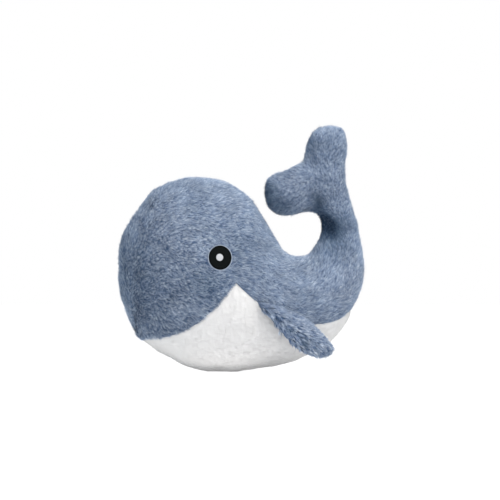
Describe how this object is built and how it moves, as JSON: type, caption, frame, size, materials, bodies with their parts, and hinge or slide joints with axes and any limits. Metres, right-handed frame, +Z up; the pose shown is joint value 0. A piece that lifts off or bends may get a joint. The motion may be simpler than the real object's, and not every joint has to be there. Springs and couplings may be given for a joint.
{
  "type": "plush whale",
  "caption": "Stuffed plush whale lying on its white belly, with a curled-up tail with two flukes, sewn-on flippers that lift, and flat black eyes.",
  "frame": {"origin": "on the floor below the middle of the whole toy", "axes": "+Z up; -X towards the nose and +X towards the tail; -Y towards the whale's left side, the one in the picture"},
  "size_m": [0.249, 0.136, 0.2499],
  "materials": {
    "blue_plush": "matte",
    "white_plush": "matte",
    "wadding": "matte",
    "black_felt": "matte",
    "pale_felt": "matte"
  },
  "bodies": {
    "body": {"side_panel_left": "blue_plush", "side_panel_right": "blue_plush", "belly_panel": "white_plush", "body_wadding": "wadding", "tail_wadding": "wadding", "front_fluke_wadding": "wadding", "rear_fluke_wadding": "wadding", "eye_left": "black_felt", "eye_glint_left": "pale_felt", "eye_right": "black_felt", "eye_glint_right": "pale_felt"},
    "flipper_left": {"flipper_left_outer_panel": "blue_plush", "flipper_left_inner_panel": "blue_plush", "flipper_left_wadding": "wadding"},
    "flipper_right": {"flipper_right_outer_panel": "blue_plush", "flipper_right_inner_panel": "blue_plush", "flipper_right_wadding": "wadding"}
  },
  "joints": [
    {"name": "flipper_left_lift", "type": "hinge", "parent": "body", "child": "flipper_left", "pos_m": [0.01909, -0.05291, 0.07159], "axis": [-0.9217, -0.2316, 0.3111], "range_deg": [-4, 75], "stiffness_Nm_per_rad": 0.004},
    {"name": "flipper_right_lift", "type": "hinge", "parent": "body", "child": "flipper_right", "pos_m": [0.01909, 0.053, 0.07159], "axis": [0.9213, -0.2335, -0.3109], "range_deg": [-4, 75], "stiffness_Nm_per_rad": 0.004}
  ]
}
